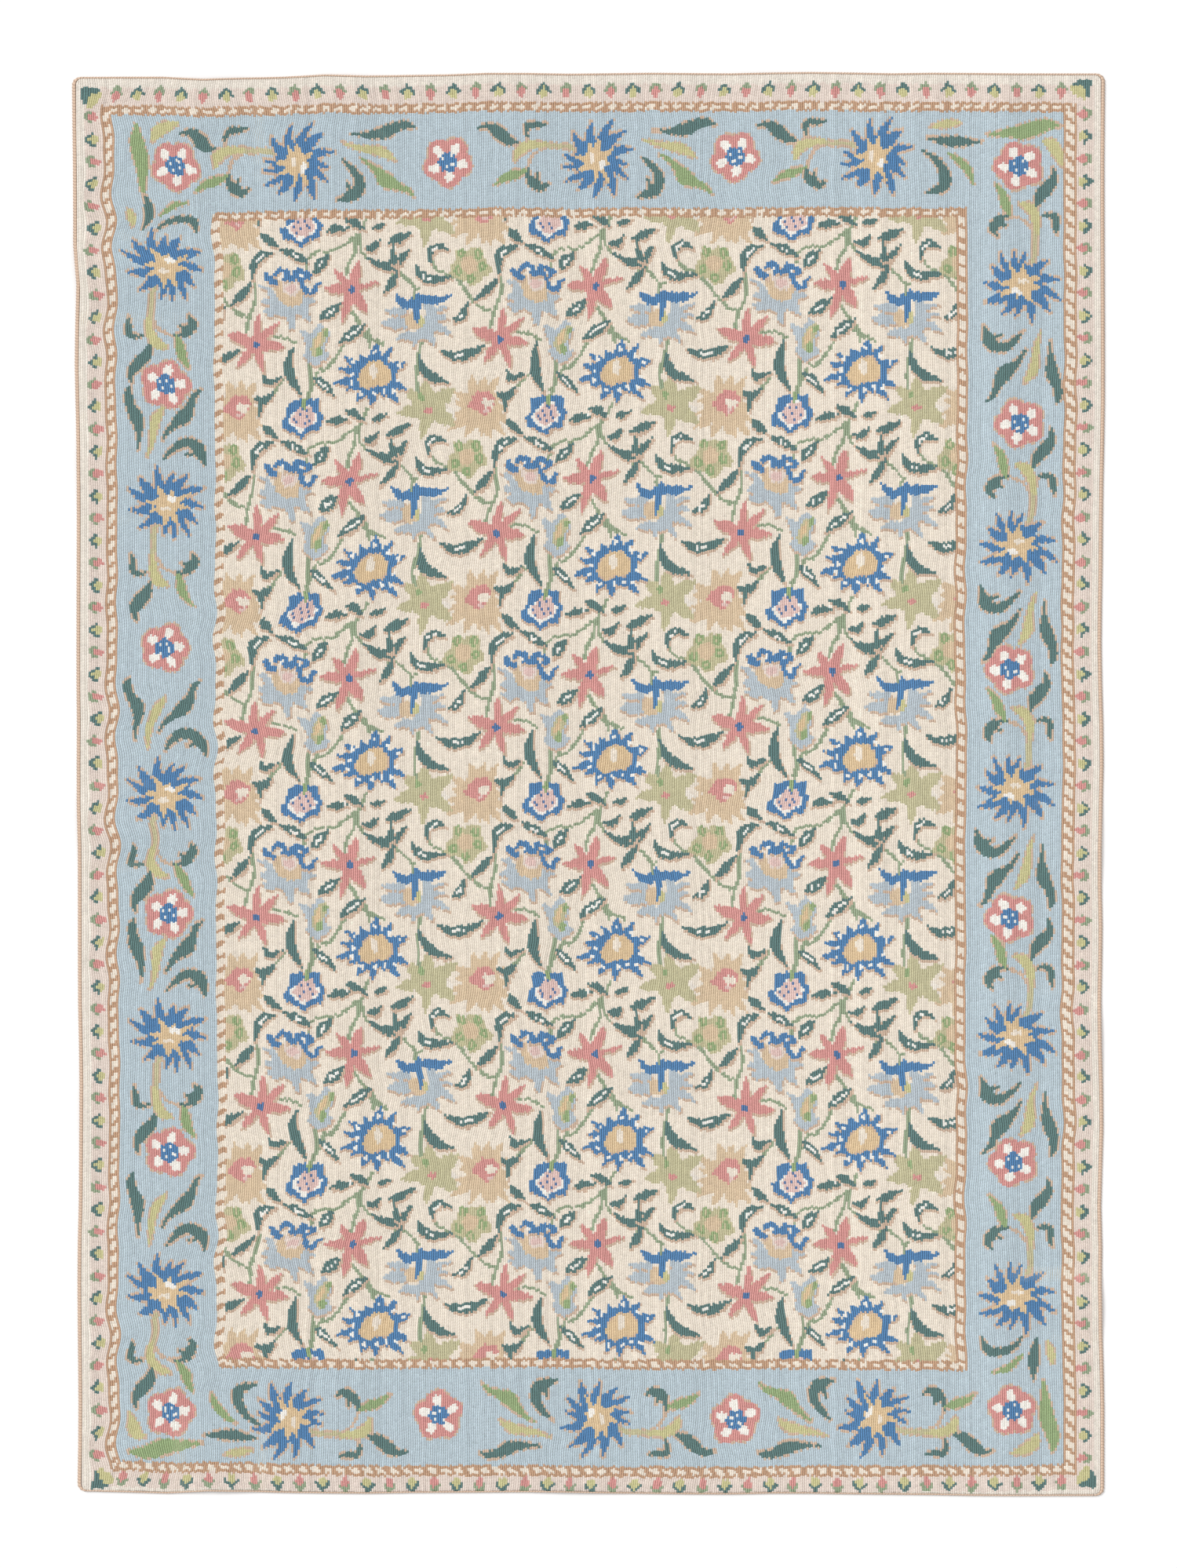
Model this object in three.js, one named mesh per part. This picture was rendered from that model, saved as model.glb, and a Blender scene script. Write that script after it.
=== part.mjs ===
import * as THREE from "three";

// Chain stitch tapestry lying flat: one stitched wool cloth, and a whipped wool edging in four runs round it.
// Millimetres, +Z up. X runs across the rows of stitching and +Y points to the top end.
// The origin is the middle of the underside.

// Driving sizes of the whole piece
const WIDTH = 1780;
const LENGTH = 2453;
const CLOTH_THICKNESS = 4;
const EDGING_HEIGHT = 4.8;
const SIDE_EDGING = 6.4; // how wide the edging shows along the left and right
const TOP_EDGING = 3.2;
const BOTTOM_EDGING = 2.6;
const CORNER_RADIUS = 10; // of the cloth, inside the edging
const SEAM_GAP = 0.3; // between the cloth and its edging, and between two runs

// Steps of the cloth's grid
const STEP = 70;
const CORNER_STEPS = [0, 0.3, 0.65, 1]; // shares of the corner radius

const clothWidth = WIDTH - 2 * (SIDE_EDGING + SEAM_GAP);
const clothLength = LENGTH - TOP_EDGING - BOTTOM_EDGING - 2 * SEAM_GAP;
const clothMiddleY = (BOTTOM_EDGING - TOP_EDGING) / 2;

// How far each side lies inside the full width or length. For the left and right sides, along is 0 at the top end
// and 1 at the bottom end. For the top and bottom ends it is 0 at the left and 1 at the right.
const LEFT_SIDE = [
  { along: 0.0, inside: 0.0 },
  { along: 0.08, inside: 1.8 },
  { along: 0.12, inside: 2.2 },
  { along: 0.148, inside: 8.0 },
  { along: 0.19, inside: 4.5 },
  { along: 0.28, inside: 8.3 },
  { along: 0.42, inside: 7.6 },
  { along: 0.475, inside: 8.6 },
  { along: 0.5, inside: 7.0 },
  { along: 0.53, inside: 10.0 },
  { along: 0.64, inside: 10.2 },
  { along: 0.72, inside: 13.2 },
  { along: 0.78, inside: 12.1 },
  { along: 0.845, inside: 9.3 },
  { along: 0.95, inside: 11.2 },
  { along: 1.0, inside: 9.5 },
];
const RIGHT_SIDE = [
  { along: 0.0, inside: 0.0 },
  { along: 0.06, inside: 1.2 },
  { along: 0.22, inside: 0.3 },
  { along: 0.32, inside: 3.9 },
  { along: 0.4, inside: 6.2 },
  { along: 0.48, inside: 2.4 },
  { along: 0.556, inside: 6.4 },
  { along: 0.6, inside: 4.3 },
  { along: 0.666, inside: 6.6 },
  { along: 0.733, inside: 2.6 },
  { along: 0.8, inside: 6.6 },
  { along: 0.843, inside: 3.8 },
  { along: 0.865, inside: 7.7 },
  { along: 0.89, inside: 4.0 },
  { along: 0.931, inside: 1.2 },
  { along: 1.0, inside: 1.4 },
];
const TOP_END = [
  { along: 0.0, inside: 8.5 },
  { along: 0.08, inside: 8.0 },
  { along: 0.128, inside: 12.3 },
  { along: 0.19, inside: 8.7 },
  { along: 0.25, inside: 4.2 },
  { along: 0.28, inside: 6.5 },
  { along: 0.357, inside: 4.3 },
  { along: 0.417, inside: 0.9 },
  { along: 0.478, inside: 3.0 },
  { along: 0.57, inside: 1.2 },
  { along: 0.63, inside: 2.6 },
  { along: 0.72, inside: 0.0 },
  { along: 0.81, inside: 2.4 },
  { along: 0.84, inside: 1.2 },
  { along: 0.92, inside: 2.4 },
  { along: 1.0, inside: 2.6 },
];
const BOTTOM_END = [
  { along: 0.0, inside: 8.2 },
  { along: 0.098, inside: 4.3 },
  { along: 0.144, inside: 11.2 },
  { along: 0.174, inside: 5.8 },
  { along: 0.28, inside: 4.2 },
  { along: 0.34, inside: 5.8 },
  { along: 0.463, inside: 6.8 },
  { along: 0.508, inside: 4.5 },
  { along: 0.63, inside: 2.7 },
  { along: 0.69, inside: 4.5 },
  { along: 0.8, inside: 2.4 },
  { along: 0.903, inside: 0.0 },
  { along: 1.0, inside: 0.3 },
];

// Low ripples where the cloth stands off the floor. x and y are the middle, heading turns the ripple's length
// from +X in degrees, and the cloth lies flat past the ends of each ripple's length and width.
const RIPPLES = [
  { x: -840, y: 880, length: 520, width: 190, heading: -8, rise: 5.0 },
  { x: -850, y: 545, length: 420, width: 210, heading: 6, rise: 3.2 },
  { x: -850, y: -70, length: 460, width: 180, heading: -4, rise: 3.6 },
  { x: -860, y: -560, length: 380, width: 240, heading: 9, rise: 3.0 },
  { x: -640, y: 1170, length: 380, width: 200, heading: 84, rise: 4.4 },
  { x: -410, y: 1190, length: 300, width: 170, heading: 96, rise: 3.0 },
  { x: -640, y: -1180, length: 340, width: 170, heading: 88, rise: 4.2 },
  { x: -30, y: -1190, length: 300, width: 220, heading: 93, rise: 2.4 },
  { x: 850, y: -110, length: 400, width: 200, heading: 5, rise: 3.0 },
  { x: 855, y: -440, length: 360, width: 180, heading: -6, rise: 2.8 },
  { x: 850, y: -900, length: 420, width: 150, heading: 3, rise: 4.0 },
  { x: 300, y: 1195, length: 300, width: 210, heading: 90, rise: 2.2 },
];

const lerp = THREE.MathUtils.lerp;

// The inset of a side at a place along it, eased from row to row of its table.
function insetOf(side, along) {
  const last = side.length - 1;
  const next = side.findIndex((row) => row.along >= along);
  const index = THREE.MathUtils.clamp(next < 0 ? last : next, 1, last);
  const [from, to] = [side[index - 1], side[index]];
  const share = THREE.MathUtils.smoothstep(along, from.along, to.along);
  return lerp(from.inside, to.inside, share);
}

// How far the cloth's underside stands off the floor at a point.
function liftAt(x, y) {
  let lift = 0;
  for (const ripple of RIPPLES) {
    const turn = THREE.MathUtils.degToRad(ripple.heading);
    const [dx, dy] = [x - ripple.x, y - ripple.y];
    const alongIt = (dx * Math.cos(turn) + dy * Math.sin(turn)) / (ripple.length / 2);
    const acrossIt = (dy * Math.cos(turn) - dx * Math.sin(turn)) / (ripple.width / 2);
    if (Math.abs(alongIt) < 1 && Math.abs(acrossIt) < 1) {
      const swell = Math.cos((alongIt * Math.PI) / 2) * Math.cos((acrossIt * Math.PI) / 2);
      lift += ripple.rise * swell ** 2;
    }
  }
  return lift;
}

// Distances of the grid's lines from one edge: close in the rounded corner, then even.
function gridLines(size) {
  const corner = CORNER_STEPS.map((share) => share * CORNER_RADIUS);
  const inner = size - 2 * CORNER_RADIUS;
  const count = Math.round(inner / STEP);
  const even = Array.from(
    { length: count - 1 },
    (_, i) => CORNER_RADIUS + (inner * (i + 1)) / count,
  );
  const far = corner.map((distance) => size - distance).reverse();
  return [...corner, ...even, ...far];
}

// Pulls a point of the square corner zone in to the round corner. fromSide and fromEnd are its distances
// from the two edges that meet there.
function roundedCorner(fromSide, fromEnd) {
  const side = 1 - fromSide / CORNER_RADIUS;
  const end = 1 - fromEnd / CORNER_RADIUS;
  if (side <= 0 || end <= 0) return [fromSide, fromEnd];
  const shrink = Math.max(side, end) / Math.hypot(side, end);
  return [(1 - side * shrink) * CORNER_RADIUS, (1 - end * shrink) * CORNER_RADIUS];
}

// The place on the floor plan of a grid point, from its distances to the cloth's left edge and bottom end.
function planPoint(fromLeft, fromBottom) {
  const atRight = fromLeft > clothWidth / 2;
  const atTop = fromBottom > clothLength / 2;
  const [sideGap, endGap] = roundedCorner(
    atRight ? clothWidth - fromLeft : fromLeft,
    atTop ? clothLength - fromBottom : fromBottom,
  );
  const across = (atRight ? clothWidth - sideGap : sideGap) / clothWidth;
  const up = (atTop ? clothLength - endGap : endGap) / clothLength;
  const left = -clothWidth / 2 + insetOf(LEFT_SIDE, 1 - up);
  const right = clothWidth / 2 - insetOf(RIGHT_SIDE, 1 - up);
  const bottom = clothMiddleY - clothLength / 2 + insetOf(BOTTOM_END, across);
  const top = clothMiddleY + clothLength / 2 - insetOf(TOP_END, across);
  return new THREE.Vector2(lerp(left, right, across), lerp(bottom, top, up));
}

function closedGeometry(points, triangles) {
  const geometry = new THREE.BufferGeometry();
  geometry.setAttribute("position", new THREE.Float32BufferAttribute(points.flat(), 3));
  geometry.setIndex(triangles.flat());
  geometry.computeVertexNormals();
  return geometry;
}

const columns = gridLines(clothWidth);
const rows = gridLines(clothLength);
const plan = rows.map((fromBottom) => columns.map((fromLeft) => planPoint(fromLeft, fromBottom)));

// The outer points of the grid, anticlockwise from the bottom left corner, as row and column numbers.
function rimIndices() {
  const [lastRow, lastColumn] = [rows.length - 1, columns.length - 1];
  const rim = [];
  for (let c = 0; c < lastColumn; c++) rim.push([0, c]);
  for (let r = 0; r < lastRow; r++) rim.push([r, lastColumn]);
  for (let c = lastColumn; c > 0; c--) rim.push([lastRow, c]);
  for (let r = lastRow; r > 0; r--) rim.push([r, 0]);
  return rim;
}

// The cloth: a sheet of even thickness that follows the ripples, so its underside is flat between them.
function clothGeometry() {
  const layer = (height) =>
    plan.flatMap((row) => row.map((p) => [p.x, p.y, liftAt(p.x, p.y) + height]));
  const points = [...layer(0), ...layer(CLOTH_THICKNESS)];
  const under = (r, c) => r * columns.length + c;
  const over = (r, c) => under(r, c) + rows.length * columns.length;
  const triangles = [];
  for (let r = 0; r + 1 < rows.length; r++) {
    for (let c = 0; c + 1 < columns.length; c++) {
      triangles.push([over(r, c), over(r, c + 1), over(r + 1, c + 1)]);
      triangles.push([over(r, c), over(r + 1, c + 1), over(r + 1, c)]);
      triangles.push([under(r, c), under(r + 1, c + 1), under(r, c + 1)]);
      triangles.push([under(r, c), under(r + 1, c), under(r + 1, c + 1)]);
    }
  }
  const rim = rimIndices();
  rim.forEach((here, i) => {
    const next = rim[(i + 1) % rim.length];
    triangles.push([under(...here), under(...next), over(...next)]);
    triangles.push([under(...here), over(...next), over(...here)]);
  });
  return closedGeometry(points, triangles);
}

// The cloth's rim as stations for the edging: place, outward direction and the edging's width there.
function rimStations() {
  const rim = rimIndices().map(([r, c]) => plan[r][c]);
  return rim.map((place, i) => {
    const before = rim[(i + rim.length - 1) % rim.length];
    const after = rim[(i + 1) % rim.length];
    const ahead = after.clone().sub(before).normalize();
    const outward = new THREE.Vector2(ahead.y, -ahead.x);
    const endWidth = outward.y > 0 ? TOP_EDGING : BOTTOM_EDGING;
    const width = SIDE_EDGING * outward.x ** 2 + endWidth * outward.y ** 2;
    return { place, outward, width };
  });
}

// The edging's cross-section, with out as a share of its width and up as a share of its height: flat
// against the cloth and on the floor, and rounded over the outside.
const EDGING_SECTION = [
  { out: 0.0, up: 0.0 },
  { out: 0.74, up: 0.0 },
  { out: 1.0, up: 0.26 },
  { out: 1.0, up: 0.64 },
  { out: 0.74, up: 0.95 },
  { out: 0.36, up: 1.0 },
  { out: 0.0, up: 0.86 },
];

// Moves a run's first or last station half a seam gap towards its neighbour.
function shortened(station, neighbour) {
  const share = SEAM_GAP / 2 / station.place.distanceTo(neighbour.place);
  return { ...station, place: station.place.clone().lerp(neighbour.place, share) };
}

// One run of edging along a row of stations.
function edgingGeometry(stations) {
  const last = stations.length - 1;
  const run = [
    shortened(stations[0], stations[1]),
    ...stations.slice(1, last),
    shortened(stations[last], stations[last - 1]),
  ];
  const points = run.flatMap(({ place, outward, width }) =>
    EDGING_SECTION.map(({ out, up }) => {
      const from = SEAM_GAP + out * width;
      const [x, y] = [place.x + outward.x * from, place.y + outward.y * from];
      return [x, y, liftAt(place.x, place.y) + up * EDGING_HEIGHT];
    }),
  );
  const sides = EDGING_SECTION.length;
  const triangles = [];
  for (let s = 0; s < last; s++) {
    for (let k = 0; k < sides; k++) {
      const [a, b] = [s * sides + k, s * sides + ((k + 1) % sides)];
      triangles.push([a, b + sides, b], [a, a + sides, b + sides]);
    }
  }
  for (let k = 1; k + 1 < sides; k++) {
    triangles.push([0, k, k + 1]);
    triangles.push([last * sides, last * sides + k + 1, last * sides + k]);
  }
  return closedGeometry(points, triangles);
}

// The four runs. The side runs turn both their corners, and the end runs lie between them.
function edgingRuns() {
  const stations = rimStations();
  const turn = CORNER_STEPS.length - 1; // steps from a corner to where its round ends
  const [across, up] = [columns.length - 1, rows.length - 1];
  const stretch = (from, to) =>
    Array.from({ length: to - from + 1 }, (_, i) => stations[(from + i) % stations.length]);
  return {
    edging_bottom: stretch(turn, across - turn),
    edging_right: stretch(across - turn, across + up + turn),
    edging_top: stretch(across + up + turn, 2 * across + up - turn),
    edging_left: stretch(2 * across + up - turn, 2 * across + 2 * up + turn),
  };
}

function part(name, geometry, material) {
  const mesh = new THREE.Mesh(geometry, material);
  mesh.name = name;
  return mesh;
}

const stitchedWool = new THREE.MeshStandardMaterial({ color: 0xe6dac6, roughness: 0.95, metalness: 0 });
const tanWool = new THREE.MeshStandardMaterial({ color: 0xc49a76, roughness: 0.95, metalness: 0 });

const tapestry = new THREE.Group();
tapestry.add(part("stitched_cloth", clothGeometry(), stitchedWool));
for (const [name, stations] of Object.entries(edgingRuns())) {
  tapestry.add(part(name, edgingGeometry(stations), tanWool));
}

// The middle of the outline goes to the origin.
const outline = new THREE.Box3().setFromObject(tapestry);
tapestry.position.x = -(outline.min.x + outline.max.x) / 2;
tapestry.position.y = -(outline.min.y + outline.max.y) / 2;

export default tapestry;
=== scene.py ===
"""A wool chain stitch tapestry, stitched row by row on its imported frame. Metres, +Z up, +Y to the top."""

from functools import partial
from math import cos, pi, radians, sin

import bpy
import numpy as np
from bpy.props import FloatProperty, FloatVectorProperty, IntProperty, PointerProperty
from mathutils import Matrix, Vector


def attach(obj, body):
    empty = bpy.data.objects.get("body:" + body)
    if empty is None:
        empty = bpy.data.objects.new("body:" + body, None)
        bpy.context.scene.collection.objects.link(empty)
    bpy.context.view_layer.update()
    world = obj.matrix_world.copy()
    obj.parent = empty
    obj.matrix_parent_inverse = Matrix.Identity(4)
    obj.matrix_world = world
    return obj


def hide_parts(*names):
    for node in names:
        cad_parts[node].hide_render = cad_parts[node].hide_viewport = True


bl_info = {
    "name": "Chain Stitch Tapestry",
    "version": (1, 0, 0),
    "blender": (4, 5, 0),
    "location": "View3D > Sidebar > Tapestry",
    "description": "Stitches a floral wool tapestry in rows of chain stitch onto its packed frame",
    "category": "Add Mesh",
}

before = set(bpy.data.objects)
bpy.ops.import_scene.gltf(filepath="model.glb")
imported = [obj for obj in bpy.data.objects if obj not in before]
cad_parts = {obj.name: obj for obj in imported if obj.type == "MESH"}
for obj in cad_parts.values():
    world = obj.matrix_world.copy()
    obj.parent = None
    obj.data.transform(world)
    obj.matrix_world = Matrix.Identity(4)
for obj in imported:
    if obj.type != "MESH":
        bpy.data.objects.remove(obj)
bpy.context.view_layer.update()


def table(columns, rows):
    """Rows as dictionaries, with the names of their columns."""
    return [dict(zip(columns.split(), row)) for row in rows]


# Sizes that the cloth shares with its frame
CORNER_RADIUS = 0.010
SEAM_GAP = 0.0003

# Low ripples where the cloth stands off the floor, with x and y at the middle and heading in degrees from +X
RIPPLES = table("x y length width heading rise", [
    (-0.84, 0.88, 0.52, 0.19, -8, 0.005),
    (-0.85, 0.545, 0.42, 0.21, 6, 0.0032),
    (-0.85, -0.07, 0.46, 0.18, -4, 0.0036),
    (-0.86, -0.56, 0.38, 0.24, 9, 0.003),
    (-0.64, 1.17, 0.38, 0.2, 84, 0.0044),
    (-0.41, 1.19, 0.3, 0.17, 96, 0.003),
    (-0.64, -1.18, 0.34, 0.17, 88, 0.0042),
    (-0.03, -1.19, 0.3, 0.22, 93, 0.0024),
    (0.85, -0.11, 0.4, 0.2, 5, 0.003),
    (0.855, -0.44, 0.36, 0.18, -6, 0.0028),
    (0.85, -0.9, 0.42, 0.15, 3, 0.004),
    (0.3, 1.195, 0.3, 0.21, 90, 0.0022),
])


def lerp(a, b, share):
    return a + (b - a) * share


def smoothstep(value):
    share = np.clip(value, 0, 1)
    return share * share * (3 - 2 * share)


# Settings


def size(name, default, description):
    kind = {"subtype": "DISTANCE", "unit": "LENGTH", "precision": 4}
    return FloatProperty(name=name, description=description, default=default, min=0, **kind)


def share(name, default, description):
    return FloatProperty(name=name, description=description, default=default, min=0, max=1, subtype="FACTOR")


def yarn(name, red, green, blue, use):
    colour = (red / 255, green / 255, blue / 255)
    kind = {"size": 3, "min": 0, "max": 1, "subtype": "COLOR_GAMMA"}
    return FloatVectorProperty(name=name, description=f"Wool for {use}", default=colour, **kind)


def strength(name, default, description):
    return FloatProperty(name=name, description=description, default=default, min=0)


class TapestryStitching(bpy.types.PropertyGroup):
    rows: IntProperty(name="Rows", description="Rows of chain stitch across the cloth", default=468, min=9)
    stitches: IntProperty(name="Stitches", description="Stitches along each row", default=478, min=9)
    bundles: IntProperty(name="Bundles", description="Pieces that the rows are made in", default=9, min=1)
    ground_height: size("Ground Height", 0.0026, "Thickness of the canvas under the stitching")
    ridge_height: size("Ridge Height", 0.0016, "How far a row's crest stands above the canvas")
    wander_left: size("Wander at Left", 0.0055, "How far the rows stray sideways at the left")
    wander_right: size("Wander at Right", 0.0018, "How far the rows stray sideways at the right")
    row_drift: share("Row Drift", 0.014, "How much the wool's shade changes from row to row")
    stitch_drift: share("Stitch Drift", 0.016, "How much the wool's shade changes from stitch to stitch")


class TapestryYarns(bpy.types.PropertyGroup):
    cream: yarn("Cream", 244, 233, 217, "the ground of the field")
    white: yarn("White", 250, 246, 238, "flecks and highlights")
    oyster: yarn("Oyster", 242, 234, 222, "the outer guard")
    shell: yarn("Shell Pink", 238, 223, 212, "the inner guard")
    pale_blue: yarn("Pale Blue", 196, 213, 222, "the ground of the border")
    sky: yarn("Sky", 195, 207, 215, "light blue petals")
    blue: yarn("Blue", 95, 145, 195, "star flowers and rims")
    navy: yarn("Navy", 96, 133, 182, "dark blue petals")
    dark_green: yarn("Dark Green", 105, 138, 136, "leaves")
    leaf_green: yarn("Leaf Green", 162, 186, 137, "light leaves")
    stem_green: yarn("Stem Green", 162, 180, 150, "stems")
    olive: yarn("Olive", 207, 202, 164, "olive flowers")
    yellow: yarn("Yellow", 213, 209, 157, "yellow leaves")
    tan: yarn("Tan", 229, 205, 173, "large tan flowers")
    gold: yarn("Gold", 232, 205, 165, "hearts of the blue flowers")
    coral: yarn("Coral", 229, 163, 158, "coral petals")
    pink: yarn("Pink", 237, 206, 199, "pink hearts")
    peach: yarn("Peach", 219, 193, 171, "outlines")
    rope: yarn("Rope Tan", 208, 170, 140, "the rope stripes")


class TapestryEdging(bpy.types.PropertyGroup):
    side_width: size("Side Width", 0.0064, "How wide the edging shows along the left and right")
    top_width: size("Top Width", 0.0032, "How wide the edging shows along the top end")
    bottom_width: size("Bottom Width", 0.0026, "How wide the edging shows along the bottom end")
    height: size("Height", 0.0048, "Height of the edging off the floor")
    wrap: size("Wrap", 0.0052, "Length of the edge that one wrap of wool covers")
    wool: yarn("Edging Wool", 201, 172, 149, "the whipped edging")


class TapestryCanvas(bpy.types.PropertyGroup):
    thread: size("Thread", 0.0016, "Pitch of the canvas weave")
    cell: size("Cell", 0.035, "Spacing of the mesh's points")
    cotton: yarn("Cotton", 214, 200, 174, "the canvas ground")


class TapestryStage(bpy.types.PropertyGroup):
    floor_size: size("Floor Size", 120.0, "Length of each side of the floor")
    view_height: size("View Height", 2.7013, "How much of the floor the camera sees from top to bottom")
    camera_height: size("Camera Height", 7.0, "Height of the camera above the floor")
    floor: yarn("Floor", 252, 252, 252, "the floor")
    sky_light: strength("Sky Light", 0.72, "Strength of the even light")
    key_light: strength("Key Light", 1.7, "Strength of the soft key light")


# The cloth's outline


class Outline:
    """The cloth's rim and its four sides, read from the upright faces of its solid."""

    SIDE_DEPTH = 0.03  # how uneven a side may be

    def __init__(self, node):
        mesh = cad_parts[node].data
        rim = {v for face in mesh.polygons if abs(face.normal.z) < 0.5 for v in face.vertices}
        points = np.array([mesh.vertices[v].co[:2] for v in rim])
        points = np.unique(points.round(6), axis=0)
        self.rim = points[np.argsort(np.arctan2(points[:, 1], points[:, 0]))]
        self.low, self.high = points.min(0), points.max(0)
        low, high = self.low + self.SIDE_DEPTH, self.high - self.SIDE_DEPTH
        x, y = points.T
        off_ends = (y > low[1]) & (y < high[1])
        off_sides = (x > low[0]) & (x < high[0])
        self.left = self.side(points[off_ends & (x < low[0])], 1)
        self.right = self.side(points[off_ends & (x > high[0])], 1)
        self.bottom = self.side(points[off_sides & (y < low[1])], 0)
        self.top = self.side(points[off_sides & (y > high[1])], 0)

    @staticmethod
    def side(points, axis):
        points = points[np.argsort(points[:, axis])]
        return points[:, axis], points[:, 1 - axis]

    def place(self, across, down):
        """Where a share of the way across and of the way down the cloth lies on the floor plan."""
        width, length = self.high - self.low
        across, down = rounded_corner(across, down, CORNER_RADIUS / width, CORNER_RADIUS / length)
        level = lerp(self.high[1], self.low[1], down)
        upright = lerp(self.low[0], self.high[0], across)
        x = lerp(np.interp(level, *self.left), np.interp(level, *self.right), across)
        y = lerp(np.interp(upright, *self.top), np.interp(upright, *self.bottom), down)
        return x, y


def rounded_corner(across, down, radius_across, radius_down):
    """Pulls the points of the square corners in to the round ones."""
    side = np.maximum(1 - np.minimum(across, 1 - across) / radius_across, 0)
    end = np.maximum(1 - np.minimum(down, 1 - down) / radius_down, 0)
    shrink = np.maximum(side, end) / np.maximum(np.hypot(side, end), 1e-9)
    pull = np.where((side > 0) & (end > 0), 1 - shrink, 0)
    across = across + np.where(across < 0.5, 1, -1) * pull * side * radius_across
    down = down + np.where(down < 0.5, 1, -1) * pull * end * radius_down
    return across, down


def lift(x, y):
    """How far the cloth's underside stands off the floor."""
    total = np.zeros(np.shape(x))
    for ripple in RIPPLES:
        turn = radians(ripple["heading"])
        dx, dy = x - ripple["x"], y - ripple["y"]
        along = (dx * cos(turn) + dy * sin(turn)) / (ripple["length"] / 2)
        aside = (dy * cos(turn) - dx * sin(turn)) / (ripple["width"] / 2)
        swell = np.cos(np.clip(along, -1, 1) * pi / 2) * np.cos(np.clip(aside, -1, 1) * pi / 2)
        total += ripple["rise"] * swell**2
    return total


# The chart: which wool each stitch is worked in. It is in millimetres on the flat cloth, from the left
# edge of the stitching and down from its top end. A shape is a function of x and y that is negative inside
# it and gives about how far outside it a point is.

CHART_WIDTH = 1755
CHART_LENGTH = 2438
REPEAT = (422, 327)
REPEAT_START = (251, 193)
LINE = 2.5  # how wide an outline shows round a motif

# How far the bands along the bottom sag in the middle, and how far up that reaches
SAG = 12
SAG_REACH = 180

# Distances of the bands from each side
BANDS = {
    "guard": {"left": 14, "right": 12, "top": 16, "bottom": 9},
    "outer_rope": {"left": 45, "right": 43, "top": 47, "bottom": 36},
    "border": {"left": 64, "right": 63, "top": 63, "bottom": 53},
    "inner_rope": {"left": 231, "right": 230, "top": 229, "bottom": 212},
    "field": {"left": 249, "right": 247, "top": 244, "bottom": 228},
}


def sag(x):
    return SAG * (1 - (2 * x / CHART_WIDTH - 1) ** 2)


def smooth_path(path, steps=5):
    """More points along a path, on a smooth curve through all of them."""
    p = np.array(path, float)
    p = np.vstack([2 * p[0] - p[1], p, 2 * p[-1] - p[-2]])
    t = np.linspace(0, 1, steps, endpoint=False)[:, None]
    spans = [
        (2 * b + (c - a) * t + (2 * a - 5 * b + 4 * c - d) * t**2 + (3 * b - a - 3 * c + d) * t**3) / 2
        for a, b, c, d in zip(p, p[1:], p[2:], p[3:])
    ]
    return np.vstack([*spans, p[-2:-1]])


def ribbon(x, y, path):
    """A band along a smooth path, with a width at each of its points. Stems and leaves are ribbons."""
    gap = np.full(np.shape(x), np.inf)
    line = smooth_path(path)
    for (ax, ay, a_width), (bx, by, b_width) in zip(line, line[1:]):
        dx, dy = bx - ax, by - ay
        along = np.clip(((x - ax) * dx + (y - ay) * dy) / max(dx * dx + dy * dy, 1e-6), 0, 1)
        distance = np.hypot(x - ax - along * dx, y - ay - along * dy)
        gap = np.minimum(gap, distance - lerp(a_width, b_width, along) / 2)
    return gap


def oval(x, y, middle, half, turn=0.0):
    c, s = cos(radians(turn)), sin(radians(turn))
    dx, dy = x - middle[0], y - middle[1]
    return (np.hypot((dx * c + dy * s) / half[0], (dy * c - dx * s) / half[1]) - 1) * min(half)


def petals(x, y, half, count, core, turn=0.0, point=1.0, uneven=0.0):
    """A ring of petals. core is the share of the size at their roots, and point over 1 makes them sharper."""
    radius = np.hypot(x / half[0], y / half[1])
    angle = np.arctan2(y / half[1], x / half[0]) - radians(turn)
    spread = np.abs((angle * count / (2 * pi)) % 1 - 0.5) * 2
    reach = core + (1 - core) * spread**point
    reach = reach * (1 + uneven * (np.sin(2 * angle + 1.3) + 0.6 * np.sin(5 * angle)))
    return (radius - reach) * min(half)


def star(x, y, middle, tips, curl=0.0):
    """Arms that run out from a middle. Each has its tip's x and y and its own width halfway out."""
    mx, my = middle
    c, s = 0.6 * cos(radians(curl)), 0.6 * sin(radians(curl))
    arms = []
    for tx, ty, width in tips:
        dx, dy = tx - mx, ty - my
        bend = (mx + dx * c - dy * s, my + dy * c + dx * s, width)
        arms.append(ribbon(x, y, [(mx, my, width), bend, (tx, ty, 3)]))
    return np.minimum.reduce(arms)


def patch(x, y, corners):
    """A shape with straight sides between its corners."""
    gap = np.full(np.shape(x), np.inf)
    inside = np.zeros(np.shape(x), bool)
    for (ax, ay), (bx, by) in zip(corners, corners[1:] + corners[:1]):
        dx, dy = bx - ax, by - ay
        along = np.clip(((x - ax) * dx + (y - ay) * dy) / (dx * dx + dy * dy), 0, 1)
        gap = np.minimum(gap, np.hypot(x - ax - along * dx, y - ay - along * dy))
        if dy:
            inside ^= ((ay > y) != (by > y)) & (x < ax + (y - ay) * dx / dy)
    return np.where(inside, -gap, gap)


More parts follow.
